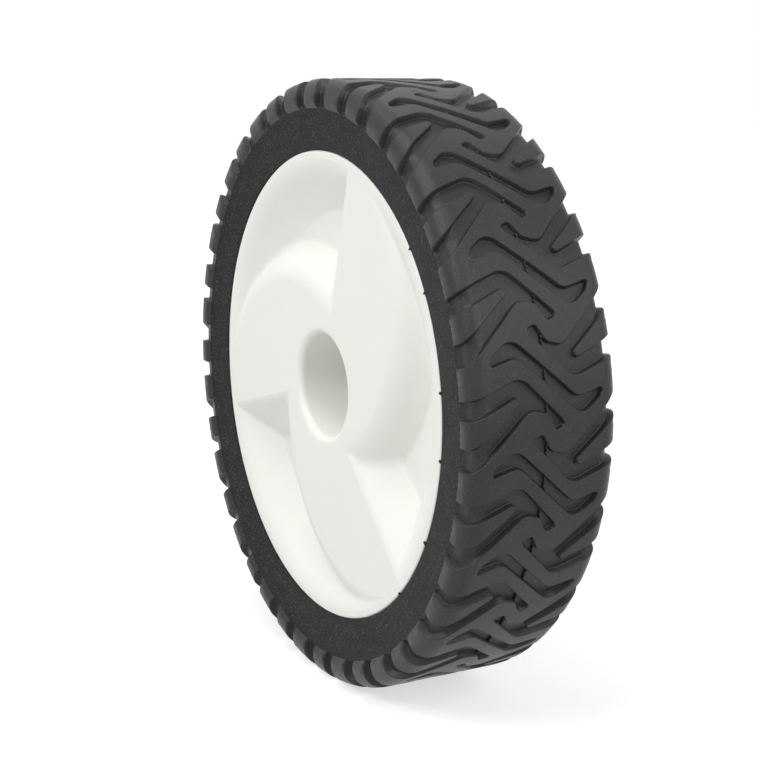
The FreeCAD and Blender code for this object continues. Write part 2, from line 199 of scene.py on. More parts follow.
print("a square corner of 3 mm radius becomes", len(rounded_corner((0, 9), (0, 0), (9, 0), 3.0)), "points")

# %% [markdown]
# The corners are given as they look from straight above, where the shoulder is foreshortened. A second
# helper lays such a line out on the flat drawing and puts its points closer together on the shoulder,
# where the rubber bends most.


# %% Lay a line out flat
def cut_at_shoulders(line, closed):
    """The same line with a point more wherever it crosses from the crown to a shoulder."""
    result = []
    last = len(line) if closed else len(line) - 1
    for k in range(last):
        start, end = line[k], line[(k + 1) % len(line)]
        result.append(start)
        for limit in (-crown_edge, crown_edge):
            if (start[0] - limit) * (end[0] - limit) < -1e-6:
                result.append(start + (end - start) * (limit - start[0]) / (end[0] - start[0]))
    return result if closed else result + [line[-1]]


def laid_flat(line, closed, crown_spacing=2.2, shoulder_spacing=0.85):
    """The same line in the flat drawing, with points closer together where the shoulder bends."""
    flat = []
    line = cut_at_shoulders(line, closed)
    last = len(line) if closed else len(line) - 1
    for k in range(last):
        (y0, along0), (y1, along1) = line[k], line[(k + 1) % len(line)]
        across0, across1 = across_of(y0), across_of(y1)
        on_crown = max(abs(across0), abs(across1)) < crown_edge + 1e-6
        spacing = crown_spacing if on_crown else shoulder_spacing
        steps = max(1, math.ceil(math.hypot(across1 - across0, along1 - along0) / spacing))
        for step in range(steps):
            share = step / steps
            across = across0 + (across1 - across0) * share
            past_shoulder = max(abs(across0), abs(across1)) > across_shoulder + 1e-6
            if not past_shoulder and abs(y1 - y0) > 1e-9:
                share = (y_of(across) - y0) / (y1 - y0)
            flat.append((across, along0 + (along1 - along0) * share))
    if not closed:
        flat.append((across_of(line[-1][0]), line[-1][1]))
    return flat


straight_over = laid_flat([np.array((-half_width, 0.0)), np.array((half_width, 0.0))], False)
print("a line straight over the tread has", len(straight_over), "points")

# %% The corners of the zig and the fork
off_the_edge = half_width + 20
zig_half = [(-19.5, 3.9, 0.9), (-17.9, 7.3, 2.5), (-11.5, 12.3, 5.0), (10.0, -6.5, 4.0)]
zig_corners = zig_half + [(-y, -along, radius) for y, along, radius in zig_half]

fork_outside = [
    (-off_the_edge, -5.2, 0), (-half_width, -5.2, 1.5), (-9.2, 0.9, 5.5), (6.2, -14.2, 1.2), (2.3, -15.6, 1.2),
    (-0.7, -10.4, 3.0), (-6.3, -8.9, 4.0), (-half_width, -27.0, 1.5), (-off_the_edge, -27.0, 0),
]
fork_wedge = [
    (-off_the_edge, -19.8, 0), (-half_width, -19.8, 1.5), (-4.0, -2.0, 1.2), (-half_width, -11.2, 1.5),
    (-off_the_edge, -11.2, 0),
]


class Groove:
    """One groove's outline in the flat drawing, and which of its edges lie open on the sidewall."""

    def __init__(self, points):
        points = np.array(points)
        following = np.roll(points, -1, axis=0)
        area = np.sum(points[:, 0] * following[:, 1] - following[:, 0] * points[:, 1]) / 2
        self.points = points if area > 0 else points[::-1]
        at_end = np.abs(np.abs(self.points[:, 0]) - across_end) < 1e-6
        self.open_edges = at_end & np.roll(at_end, -1)

    def turned(self):
        """The same groove turned half a turn about the middle of the repeat."""
        return Groove(-self.points)


fork_points = laid_flat(smooth_line(fork_outside, False), False) + laid_flat(smooth_line(fork_wedge, False), False)
zig = Groove(laid_flat(smooth_line(zig_corners, True), True))
near_fork = Groove(fork_points)
far_fork = near_fork.turned()
grooves = [zig, near_fork, far_fork]
print("outline points:", [len(groove.points) for groove in grooves])

# %% [markdown]
# ## Walls with a rounded edge
# A moulded groove isn't cut with a knife. Its top edge has a tiny radius that catches a thin line of
# light, its wall leans a little so that the mould can let go, and a small fillet runs round its
# floor. Each outline is therefore stepped inwards several times, a little deeper each time, and the
# steps are joined with quads.


# %% Step an outline in or out
def stepped(groove, distance):
    """The outline moved by a distance, outwards where positive. Open edges stay on the sidewall."""
    points = groove.points
    edges = np.roll(points, -1, axis=0) - points
    edges = edges / np.linalg.norm(edges, axis=1, keepdims=True)
    outward = np.stack([edges[:, 1], -edges[:, 0]], axis=1)
    moves = np.where(groove.open_edges, 0.0, distance)
    result = []
    for k in range(len(points)):
        first, second = outward[k - 1], outward[k]
        bend = first[0] * second[1] - first[1] * second[0]
        if moves[k - 1] == moves[k] or abs(bend) < 1e-3:
            shift = moves[k] * (first + second) / max(1 + first @ second, 0.25)
        else:
            shift = np.array([moves[k - 1] * second[1] - moves[k] * first[1],
                              moves[k] * first[0] - moves[k - 1] * second[0]]) / bend
        result.append(points[k] + shift)
    return np.array(result)


wall_steps = [(0.34, 0.0), (0.13, 0.05), (0.0, 0.15), (-0.22, 0.86), (-0.32, 0.95), (-0.56, 1.0)]
print("a wall is", len(wall_steps) - 1, "bands from the land to the floor")

# %% [markdown]
# ## One repeat of the tread
# The tops of the blocks and the floors of the grooves have odd outlines, so quads won't fill them
# neatly. A constrained Delaunay triangulation does: it takes the outlines as edges that must be kept
# and fills the rest with well-shaped triangles. Extra points in even rows keep the triangles small
# enough to bend smoothly over the shoulder. The border between one repeat and the next runs through
# solid rubber, between the grooves, so that each repeat holds whole grooves.

# %% The border between two repeats
border_corners = [
    (-off_the_edge, -33.9), (-half_width, -33.9), (-18.75, -24.0), (-10.5, -17.0), (-6.0, -13.4), (-2.0, -13.2),
    (0.0, -15.96), (2.0, -18.72), (6.0, -18.52), (10.5, -14.92), (18.75, -7.92), (half_width, 1.98),
    (off_the_edge, 1.98),
]
border = np.array(laid_flat([np.array(corner) for corner in border_corners], False, 2.6, 1.3))
next_border = border + np.array([0.0, pitch_length])


def inside(points, outline):
    """Which points lie inside an outline, by counting the edges to one side of each."""
    points = np.asarray(points)
    hit = np.zeros(len(points), bool)
    for (a0, b0), (a1, b1) in zip(outline, np.roll(outline, -1, axis=0)):
        if b0 == b1:
            continue
        crosses = (b0 > points[:, 1]) != (b1 > points[:, 1])
        hit ^= crosses & (points[:, 0] < (a1 - a0) * (points[:, 1] - b0) / (b1 - b0) + a0)
    return hit


def nearest_distance(points, outline):
    """How far each point is from the nearest corner of an outline."""
    return np.array([np.min(np.hypot(*(outline - point).T)) for point in points])


print("the border has", len(border), "points")


# %% Fill a flat region with triangles
def even_points(region, holes, rows, spacing, clear):
    """Points in even rows inside a region, clear of its outline and of the holes."""
    low, high = region[:, 1].min(), region[:, 1].max()
    columns = np.arange(low, high, spacing)
    grid = np.array([(row, column + spacing * 0.5 * (k % 2)) for k, row in enumerate(rows) for column in columns])
    grid = grid[inside(grid, region)]
    for hole in holes:
        grid = grid[~inside(grid, hole)]
    for outline in [region, *holes]:
        grid = grid[nearest_distance(grid, outline) > clear]
    return grid


def filled(region, holes, extra):
    """Triangles that fill a region but not its holes, as points and corner numbers."""
    points, edges = [], []
    for outline in [region, *holes]:
        first = len(points)
        points += [tuple(point) for point in outline]
        edges += [(first + k, first + (k + 1) % len(outline)) for k in range(len(outline))]
    points += [tuple(point) for point in extra]
    made = delaunay_2d_cdt([Vector(point) for point in points], edges, [], 0, 1e-5)
    flat = np.array([tuple(point) for point in made[0]])
    faces = np.array([tuple(face) for face in made[2]])
    middles = flat[faces].mean(axis=1)
    sides = flat[faces[:, 1:]] - flat[faces[:, :1]]
    areas = np.abs(sides[:, 0, 0] * sides[:, 1, 1] - sides[:, 0, 1] * sides[:, 1, 0]) / 2
    keep = inside(middles, region) & (areas > 1e-4)
    for hole in holes:
        keep &= ~inside(middles, hole)
    return flat, faces[keep]


row_spacing = 2.8
rounded_rows = np.linspace(crown_edge, across_shoulder, 8)
side_rows = section_along[-3:-1]
crown_rows = np.arange(row_spacing, crown_edge - 1.5, row_spacing)
half_rows = np.concatenate([crown_rows, rounded_rows, side_rows])
land_rows = np.concatenate([-half_rows[::-1], [0.0], half_rows])
print("rows across the land:", len(land_rows))


# %% [markdown]
# Land, walls and floors are now put together. Every point keeps three numbers: its place across, its
# place along, and how deep it is, from 0 on the land to 1 on the groove floor.

# %% Assemble one repeat
class Repeat:
    """Points (across, along, depth) and faces of one repeat of the tread."""

    def __init__(self):
        self.points = []
        self.faces = []

    def add_points(self, flat, depth):
        first = len(self.points)
        self.points += [(across, along, depth) for across, along in flat]
        return first

    def add_sheet(self, flat, faces, depth):
        first = self.add_points(flat, depth)
        self.faces += [tuple(first + k for k in face) for face in faces]

    def add_walls(self, groove):
        loops = [self.add_points(stepped(groove, distance), depth) for distance, depth in wall_steps]
        count = len(groove.points)
        for upper, lower in zip(loops, loops[1:]):
            for k in range(count):
                if not groove.open_edges[k]:
                    following = (k + 1) % count
                    self.faces.append((upper + k, upper + following, lower + following, lower + k))


def with_open_edges_divided(outline, open_edges, spacing):
    """An outline with extra points along its open edges on the sidewall."""
    result = []
    for k, point in enumerate(outline):
        result.append(point)
        if open_edges[k]:
            following = outline[(k + 1) % len(outline)]
            steps = max(1, math.ceil(np.linalg.norm(following - point) / spacing))
            result += [point + (following - point) * step / steps for step in range(1, steps)]
    return np.array(result)


point_spacing = 2.4
side_spacing = 1.6
repeat = Repeat()
tile_outline = np.concatenate([border, next_border[::-1]])
tile_sides = np.abs(np.diff(tile_outline[:, 0], append=tile_outline[0, 0])) < 1e-9
tile_outline = with_open_edges_divided(tile_outline, tile_sides, side_spacing)
land_edges = [stepped(groove, wall_steps[0][0]) for groove in grooves]
land_extra = even_points(tile_outline, land_edges, land_rows, point_spacing, 0.8)
repeat.add_sheet(*filled(tile_outline, land_edges, land_extra), 0.0)
for groove in grooves:
    repeat.add_walls(groove)
    floor_edge = with_open_edges_divided(stepped(groove, wall_steps[-1][0]), groove.open_edges, side_spacing)
    floor_extra = even_points(floor_edge, [], land_rows, point_spacing, 0.7)
    repeat.add_sheet(*filled(floor_edge, [], floor_extra), 1.0)
print("one repeat has", len(repeat.points), "points and", len(repeat.faces), "faces")

# %% [markdown]
# ## Bending the repeats round the wheel
# Every flat point now goes to its place: the two section curves give its distance from mid-tread and
# its radius, and its place along gives the angle. Twenty copies close the ring.


# %% Bend and repeat
def bent(points, angle):
    """Places in metres of flat points, for a repeat whose middle is at an angle round the axle."""
    across, along, depth = np.array(points).T
    section = on_section(land_half, across) * (1 - depth[:, None]) + on_section(floor_half, across) * depth[:, None]
    turn = angle + along / tread_radius
    return np.stack([section[:, 1] * np.cos(turn), section[:, 0], section[:, 1] * np.sin(turn)], axis=1) * MM


pitch_angles = [first_pitch_angle + 2 * math.pi * k / pitch_count for k in range(pitch_count)]
tread_points = np.concatenate([bent(repeat.points, angle) for angle in pitch_angles])
tread_faces = [tuple(k * len(repeat.points) + corner for corner in face)
               for k in range(pitch_count) for face in repeat.faces]
print("the tread has", len(tread_points), "points before joining")

# %% [markdown]
# ## Sidewalls and the seat on the rim
# Below the step the sidewall is a plain turned form down to the bead, where it meets the rim's
# flange. Inside, the tyre follows the rim's barrel with a low locking ridge round the middle. Rings of
# points with the same angles as the tread's edge are joined with quads, so the whole tyre is one
# closed skin.

# %% The tread's two open edges
same_place = 2e-6


def joined(points, faces):
    """A working mesh of points in metres and faces, with points that coincide merged."""
    mesh = bpy.data.meshes.new("work")
    mesh.from_pydata([tuple(point) for point in points], [], faces)
    work = bmesh.new()
    work.from_mesh(mesh)
    bpy.data.meshes.remove(mesh)
    bmesh.ops.remove_doubles(work, verts=work.verts, dist=same_place)
    return work


tread = joined(tread_points, tread_faces)
loose = [vert.co for vert in tread.verts if vert.is_boundary]
edge_angles = {side: np.sort([math.atan2(place.z, place.x) for place in loose if place.y * side > 0])
               for side in (-1, 1)}
tread.free()
print("points on the tread's edges:", {side: len(angles) for side, angles in edge_angles.items()})

# %% Sizes of the sidewall and the seat
seat_radius = 75.0
lock_radius = 77.5
lock_half_top = 3.2
lock_half_base = 4.4
flange_thickness = 3.0
bead_round = 0.45
bead = (rim_face, rim_edge_radius)


def sidewall_section():
    """Points (distance from mid-tread, radius) from the step's foot to the middle of the seat."""
    section = [step_foot]
    slope = (bead[0] - step_foot[0]) / (bead[1] - step_foot[1])
    for radius in (91.6, 91.0, 89.0, 86.5, 84.0, 81.5, bead[1] + 2.5 * bead_round, bead[1] + bead_round):
        section.append((step_foot[0] + slope * (radius - step_foot[1]), radius))
    section.append((bead[0] - 0.3 * bead_round, bead[1] + 0.25 * bead_round))
    section.append((bead[0] - bead_round, bead[1]))
    inner_face = rim_face - flange_thickness
    section += [(inner_face, bead[1]), (inner_face, seat_radius), (lock_half_base, seat_radius)]
    section += [(lock_half_top, lock_radius), (0.0, lock_radius)]
    return section


side_section = sidewall_section()
print("the sidewall and seat turn", len(side_section), "rings on each side")


# %% Turn the sidewalls
def ring_of(angles, y, radius):
    """Points of one ring in metres."""
    return np.stack([radius * np.cos(angles), np.full_like(angles, y), radius * np.sin(angles)], axis=1) * MM


def turned_rings(side):
    """Points and faces of one sidewall, from the tread's edge to the middle of the seat."""
    angles = edge_angles[side]
    count = len(angles)
    points = np.concatenate([ring_of(angles, side * y, radius) for y, radius in side_section[:-1]])
    faces = [(ring * count + k, ring * count + (k + 1) % count,
              (ring + 1) * count + (k + 1) % count, (ring + 1) * count + k)
             for ring in range(len(side_section) - 2) for k in range(count)]
    return points, faces


near_points, near_faces = turned_rings(-1)
far_points, far_faces = turned_rings(1)
print("points in the two sidewalls:", len(near_points), "and", len(far_points))

# %% [markdown]
# The two sides meet at the middle of the seat. Their points don't line up there, because the tread's
# two edges are not mirror images, so a strip of triangles zips the last rings together: it always goes
# on to whichever next point comes first round the wheel.


# %% Close the tyre
def zipped(first_angles, first_start, second_angles, second_start):
    """Triangles between two rings whose points don't line up."""
    full = 2 * math.pi
    base = first_angles[0]
    first_order = np.argsort((first_angles - base) % full)
    second_order = np.argsort((second_angles - base) % full)
    first_turn = ((first_angles - base) % full)[first_order]
    second_turn = ((second_angles - base) % full)[second_order]
    i = j = 0
    faces = []
    while i < len(first_turn) or j < len(second_turn):
        next_first = first_turn[i + 1] if i + 1 < len(first_turn) else full
        next_second = second_turn[j + 1] if j + 1 < len(second_turn) else full + second_turn[0]
        a = first_start + first_order[i % len(first_turn)]
        b = second_start + second_order[j % len(second_turn)]
        if j >= len(second_turn) or (i < len(first_turn) and next_first <= next_second):
            faces.append((a, first_start + first_order[(i + 1) % len(first_turn)], b))
            i += 1
        else:
            faces.append((a, second_start + second_order[(j + 1) % len(second_turn)], b))
            j += 1
    return faces


near_start = len(tread_points)
far_start = near_start + len(near_points)
tyre_points = np.concatenate([tread_points, near_points, far_points])
tyre_faces = list(tread_faces)
tyre_faces += [tuple(near_start + k for k in face) for face in near_faces]
tyre_faces += [tuple(far_start + k for k in face) for face in far_faces]
tyre_faces += zipped(edge_angles[-1], far_start - len(edge_angles[-1]),
                     edge_angles[1], len(tyre_points) - len(edge_angles[1]))
print("the tyre has", len(tyre_points), "points and", len(tyre_faces), "faces before joining")

# %% [markdown]
# ## Flash from the mould
# Where the two halves of a mould meet, a little rubber is pressed out. It stays on this tyre as thin,
# ragged fins that stand in the grooves along the middle of the tread, and as a few tiny nibs on the
# bead beside the rim. They are rubber of the same piece, so they go into the tyre's own mesh. A sine
# with a different start for each fin makes the tops uneven in the same way on every run.

# %% Fins in the grooves
parting_line = -0.4


def crossings(outline, across):
    """Where an outline crosses a line along the tread, in order."""
    following = np.roll(outline, -1, axis=0)
    here = (outline[:, 0] - across) * (following[:, 0] - across) < 0
    share = (across - outline[here, 0]) / (following[here, 0] - outline[here, 0])
    return np.sort(outline[here, 1] + share * (following[here, 1] - outline[here, 1]))


def ragged_fin(start, end, seed):
    """Flat points and faces of a thin fin that stands across a groove."""
    points, faces = [], []
    stations = np.linspace(start - 0.2, end + 0.2, 9)
    for k, along in enumerate(stations):
        middle = parting_line + 0.16 * math.sin(1.7 * k + 2 * seed)
        top = 0.5 + 0.24 * math.sin(2.3 * k + seed) + 0.14 * math.sin(4.1 * k + 3 * seed)
        points += [(middle - 0.3, along, 1.1), (middle - 0.15, along, top),
                   (middle + 0.15, along, top), (middle + 0.3, along, 1.1)]
    for k in range(0, 4 * len(stations) - 4, 4):
        faces += [(k + j, k + (j + 1) % 4, k + 4 + (j + 1) % 4, k + 4 + j) for j in range(4)]
    last = 4 * len(stations) - 4
    faces += [(0, 1, 2, 3), (last + 3, last + 2, last + 1, last)]
    return points, faces


fin_count = 0
for number, angle in enumerate(pitch_angles):
    for groove in grooves:
        places = crossings(groove.points, parting_line)
        for start, end in zip(places[::2], places[1::2]):
            fin_points, fin_faces = ragged_fin(start, end, 0.9 * number + start)
            tyre_faces += [tuple(len(tyre_points) + k for k in face) for face in fin_faces]
            tyre_points = np.concatenate([tyre_points, bent(fin_points, angle)])
            fin_count += 1
print("fins in the grooves:", fin_count)


# %% Nibs on the bead
def bead_nib(angle, width, reach):
    """Points in metres and faces of a small nib that lies over the rim's edge."""
    points = []
    for radius, half in ((rim_edge_radius + 0.6, width / 2), (rim_edge_radius - reach, width / 4)):
        for y in (-rim_face - 0.15, -rim_face + 0.3):
            for side in (-1, 1):
                turn = angle + side * half / radius
                points.append((radius * math.cos(turn), y, radius * math.sin(turn)))
    faces = [(0, 1, 3, 2), (4, 6, 7, 5), (0, 4, 5, 1), (2, 3, 7, 6), (0, 2, 6, 4), (1, 5, 7, 3)]
    return np.array(points) * MM, faces


nibs = [(8, 1.1, 0.75), (353, 1.2, 0.7), (332, 1.3, 0.8), (30, 0.8, 0.4), (41, 0.7, 0.4), (313, 0.9, 0.5)]
for degrees, width, reach in nibs:
    nib_points, nib_faces = bead_nib(math.radians(degrees), width, reach)
    tyre_faces += [tuple(len(tyre_points) + k for k in face) for face in nib_faces]
    tyre_points = np.concatenate([tyre_points, nib_points])
print("nibs on the bead:", len(nibs))

# %% [markdown]
# ## Making the mesh
# The repeats share their border points, so points that coincide are merged. The skin is then checked:
# in a closed skin every edge has exactly two faces.


# %% Build the tyre piece
def mesh_piece(name, points, faces):
    """An object from points in metres and faces, joined and facing outwards."""
    mesh = bpy.data.meshes.new(name)
    work = joined(points, faces)
    bmesh.ops.dissolve_degenerate(work, edges=work.edges, dist=1e-7)
    bmesh.ops.recalc_face_normals(work, faces=work.faces)
    loose = sum(1 for edge in work.edges if len(edge.link_faces) != 2)
    work.to_mesh(mesh)
    work.free()
    piece = bpy.data.objects.new(name, mesh)
    bpy.context.scene.collection.objects.link(piece)
    print(name, "points", len(mesh.vertices), "faces", len(mesh.polygons), "edges without two faces", loose)
    return piece


tyre = mesh_piece("rubber_tyre", tyre_points, tyre_faces)

# %% [markdown]
# ## Smooth shading without blotches
# Blender averages the directions of the faces round a point to shade it smoothly. Beside a groove the
# faces are small and steep, so an average there would tilt the flat tops of the blocks and make them
# look dented. The land and the floors are simple turned forms whose true direction is known at each
# point, so it is written in, and only the walls keep the average.


# %% Write in the true directions of land and floor
on_the_form = 0.01
on_the_shoulder = 0.03


def true_directions(mesh):
    """One direction for each point: the turned form's own on land and floors, the average elsewhere."""
    count = len(mesh.vertices)
    places = np.empty(3 * count)
    mesh.vertices.foreach_get("co", places)
    places = places.reshape(count, 3) / MM
    directions = np.empty(3 * count)
    mesh.vertices.foreach_get("normal", directions)
    directions = directions.reshape(count, 3)
    radius = np.hypot(places[:, 0], places[:, 2])
    outward = np.stack([places[:, 0] / radius, np.zeros(count), places[:, 2] / radius], axis=1)
    side = np.sign(places[:, 1])
    beyond = np.abs(places[:, 1]) - crown_edge
    above = radius - (tread_radius - shoulder_round)
    reach = np.hypot(beyond, above)
    over_crown = beyond <= on_the_form
    crown = (np.abs(radius - tread_radius) < on_the_form) & over_crown
    floor_radius = np.interp(np.abs(places[:, 1]), floor_half[:, 0], floor_half[:, 1])
    floor = (np.abs(radius - floor_radius) < on_the_form) & over_crown
    shoulder = (np.abs(reach - shoulder_round) < on_the_shoulder) & ~over_crown & (above > 0)
    directions[crown | floor] = outward[crown | floor]
    lean = np.stack([outward[:, 0] * above, side * beyond, outward[:, 2] * above], axis=1) / reach[:, None]
    directions[shoulder] = lean[shoulder]
    return directions


tyre.data.shade_smooth()
tyre.data.normals_split_custom_set_from_vertices([tuple(way) for way in true_directions(tyre.data)])
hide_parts("tyre")
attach(tyre, "root")
print("the tyre stands for the solid one, with", len(tyre.data.loop_triangles), "triangles")

# %% [markdown]
# ## The surface that a mould leaves
# Both the rubber and the plastic come out of a mould, and both show it in the same way: a fine grain
# from the mould's skin and a slow unevenness of colour and shine where the material flowed and
# cooled. One node group makes both effects, and each material uses it with its own sizes. It reads
# object coordinates, which are metres here, so the grain has a real size.


# %% Node group: moulded skin
def new_node(tree, kind, place, **settings):
    """A node of a kind at a place, with some of its settings."""
    node = tree.nodes.new(kind)
    node.location = place
    for name, value in settings.items():
        setattr(node, name, value)
    return node


def moulded_skin():
    """A group that puts out the grain's height and a slow unevenness from 0 to 1."""
    group = bpy.data.node_groups.new("moulded_skin", "ShaderNodeTree")
    sockets = group.interface
    sockets.new_socket("Grain Scale", in_out="INPUT", socket_type="NodeSocketFloat").default_value = 2000
    sockets.new_socket("Flow Scale", in_out="INPUT", socket_type="NodeSocketFloat").default_value = 60
    sockets.new_socket("Grain", in_out="OUTPUT", socket_type="NodeSocketFloat")
    sockets.new_socket("Unevenness", in_out="OUTPUT", socket_type="NodeSocketFloat")
    start = new_node(group, "NodeGroupInput", (-600, 0))
    end = new_node(group, "NodeGroupOutput", (400, 0))
    place = new_node(group, "ShaderNodeTexCoord", (-600, 250))
    grain = new_node(group, "ShaderNodeTexNoise", (-300, 200))
    grain.inputs["Detail"].default_value = 4
    grain.inputs["Roughness"].default_value = 0.6
    flow = new_node(group, "ShaderNodeTexNoise", (-300, -100))
    flow.inputs["Detail"].default_value = 3
    flow.inputs["Distortion"].default_value = 0.6
    spread = new_node(group, "ShaderNodeMapRange", (0, -100))
    spread.inputs["From Min"].default_value = 0.3
    spread.inputs["From Max"].default_value = 0.7
    link = group.links.new
    link(place.outputs["Object"], grain.inputs["Vector"])
    link(place.outputs["Object"], flow.inputs["Vector"])
    link(start.outputs["Grain Scale"], grain.inputs["Scale"])
    link(start.outputs["Flow Scale"], flow.inputs["Scale"])
    link(flow.outputs["Fac"], spread.inputs["Value"])
    link(grain.outputs["Fac"], end.inputs["Grain"])
    link(spread.outputs["Result"], end.inputs["Unevenness"])
    return group


skin_group = moulded_skin()
given_out = [item.name for item in skin_group.interface.items_tree if item.in_out == "OUTPUT"]
print("group", skin_group.name, "puts out", given_out)

# %% [markdown]
# ## Rubber
# Tyre rubber is nearly black, and most of what the eye sees on it is a broad, dull reflection of the
# room. So the colour is very dark with a scatter of fine pale specks, and the grain breaks up the
# reflection. The mould's polished tread leaves a low sheen and its sidewalls leave a matt skin. One
# material could blend the two with a mask, but the strength of reflection has to be one plain number
# for each material if the exported model is to keep it. So the same function makes two rubbers, and
# each face takes one by its radius.


# %% Helpers for a material
def new_material(name):
    """A material with a Principled shader, and its tree."""
    material = bpy.data.materials.new(name)
    material.use_nodes = True
    return material, material.node_tree, material.node_tree.nodes["Principled BSDF"]


def skin_node(tree, grain_scale, flow_scale):
    """The moulded skin placed in a material with its own sizes."""
    node = new_node(tree, "ShaderNodeGroup", (-900, 0), node_tree=skin_group)
    node.inputs["Grain Scale"].default_value = grain_scale
    node.inputs["Flow Scale"].default_value = flow_scale
    return node


def between(tree, value, low, high, place):
    """A number that follows a value from 0 to 1 between a low and a high end."""
    node = new_node(tree, "ShaderNodeMapRange", place)
    node.inputs["To Min"].default_value = low
    node.inputs["To Max"].default_value = high
    tree.links.new(value, node.inputs["Value"])
    return node.outputs["Result"]


def two_colours(tree, value, low, high, place):
    """A colour that follows a value from 0 to 1 between two colours."""
    node = new_node(tree, "ShaderNodeMix", place, data_type="RGBA")
    node.inputs["A"].default_value = (*low, 1)
    node.inputs["B"].default_value = (*high, 1)
    tree.links.new(value, node.inputs["Factor"])
    return node.outputs["Result"]


def bumped(tree, height, strength, distance, place):
    """A normal that follows a height."""
    node = new_node(tree, "ShaderNodeBump", place)
    node.inputs["Strength"].default_value = strength
    node.inputs["Distance"].default_value = distance
    tree.links.new(height, node.inputs["Height"])
    return node.outputs["Normal"]


print("materials before dressing:", [material.name for material in bpy.data.materials])


# %% Rubber material
def speckled(tree, colour, scale, speck_colour):
    """A colour with fine light specks scattered over it."""
    place = new_node(tree, "ShaderNodeTexCoord", (-1100, 500))
    noise = new_node(tree, "ShaderNodeTexNoise", (-900, 500))
    noise.inputs["Scale"].default_value = scale
    noise.inputs["Detail"].default_value = 2
    pick = new_node(tree, "ShaderNodeMapRange", (-700, 500))
    pick.inputs["From Min"].default_value = 0.55
    pick.inputs["From Max"].default_value = 0.75
    mix = new_node(tree, "ShaderNodeMix", (-250, 400), data_type="RGBA")
    mix.inputs["B"].default_value = (*speck_colour, 1)
    tree.links.new(place.outputs["Object"], noise.inputs["Vector"])
    tree.links.new(noise.outputs["Fac"], pick.inputs["Value"])
    tree.links.new(pick.outputs["Result"], mix.inputs["Factor"])
    tree.links.new(colour, mix.inputs["A"])
    return mix.outputs["Result"]


def rubber_material(name, darkness, speck_strength, smoothest, roughest, shine):
    """Near-black rubber with specks, between two roughnesses and with a strength of reflection."""
    material, tree, shader = new_material(name)
    skin = skin_node(tree, 2400, 70)
    darker, lighter, speck = [(share * darkness, share * darkness, 1.03 * share * darkness)
                              for share in (0.85, 1.15, speck_strength)]
    colour = two_colours(tree, skin.outputs["Unevenness"], darker, lighter, (-500, 300))
    tree.links.new(speckled(tree, colour, 1500, speck), shader.inputs["Base Color"])
    roughness = between(tree, skin.outputs["Unevenness"], smoothest, roughest, (-500, 0))
    tree.links.new(roughness, shader.inputs["Roughness"])
    tree.links.new(bumped(tree, skin.outputs["Grain"], 0.4, 0.0004, (-500, -400)), shader.inputs["Normal"])
    shader.inputs["Specular IOR Level"].default_value = shine
    return material


# The tread rubber's colour is lighter than the sidewall rubber's. Both are the rubber's own near-black, and the tread's
# extra lightness is painted sheen that stands in for part of its reflection.
tread_rubber_painted_sheen = rubber_material("tread_rubber_painted_sheen", 0.021, 2.0, 0.3, 0.4, 0.27)
sidewall_rubber = rubber_material("sidewall_rubber", 0.013, 5.5, 0.5, 0.6, 0.1)
for rubber in (tread_rubber_painted_sheen, sidewall_rubber):
    tyre.data.materials.append(rubber)
    print("material", rubber.name, "nodes", len(rubber.node_tree.nodes))

# %% Give each face its rubber
on_sidewall = [int(math.hypot(face.center.x, face.center.z) < step_radius * MM) for face in tyre.data.polygons]
tyre.data.polygons.foreach_set("material_index", on_sidewall)
print("faces of the sidewalls and the seat:", sum(on_sidewall), "of", len(on_sidewall))

# %% [markdown]
# ## Plastic
# The rim is moulded in a cream-white plastic that lets a little light in, which is why its hollows
# look warm rather than grey. A little subsurface does that. Its skin is smoother than the rubber's.


# %% Rim material
def plastic_material():
    material, tree, shader = new_material("rim_plastic")
    skin = skin_node(tree, 900, 28)
    colour = two_colours(tree, skin.outputs["Unevenness"], (0.86, 0.855, 0.795), (0.88, 0.875, 0.82), (-500, 300))
    tree.links.new(colour, shader.inputs["Base Color"])
    roughness = between(tree, skin.outputs["Unevenness"], 0.36, 0.46, (-500, 0))
    tree.links.new(roughness, shader.inputs["Roughness"])
    tree.links.new(bumped(tree, skin.outputs["Grain"], 0.08, 0.0003, (-500, -300)), shader.inputs["Normal"])
    shader.inputs["Subsurface Weight"].default_value = 0.12
    shader.inputs["Subsurface Radius"].default_value = (1.0, 0.9, 0.55)
    shader.inputs["Subsurface Scale"].default_value = 0.003
    return material


plastic = plastic_material()
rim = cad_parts["rim"]
rim.data.materials.clear()
rim.data.materials.append(plastic)
print("material", plastic.name, "on", rim.name)

# %% [markdown]
# ## A plain studio
# A pale floor, a white room all round and three soft lamps: one in front and above that models the
# pockets and lays a sheen on the near shoulder, one overhead, and one that looks along the tread. The
# floor and the room are white for what the camera sees straight or in a reflection. For light they are
# dimmer, so that the cream plastic doesn't burn out and the wheel keeps its shadow.


# %% Floor
def looked_at(tree, place):
    """A value that is 1 for what the camera sees straight, in a reflection or through glass, else 0."""
    path = new_node(tree, "ShaderNodeLightPath", place)
    mirrored = new_node(tree, "ShaderNodeMath", (place[0] + 200, place[1]), operation="MAXIMUM")
    either = new_node(tree, "ShaderNodeMath", (place[0] + 400, place[1]), operation="MAXIMUM")
    tree.links.new(path.outputs["Is Camera Ray"], mirrored.inputs[0])
    tree.links.new(path.outputs["Is Glossy Ray"], mirrored.inputs[1])
    tree.links.new(mirrored.outputs["Value"], either.inputs[0])
    tree.links.new(path.outputs["Is Transmission Ray"], either.inputs[1])
    return either.outputs["Value"]


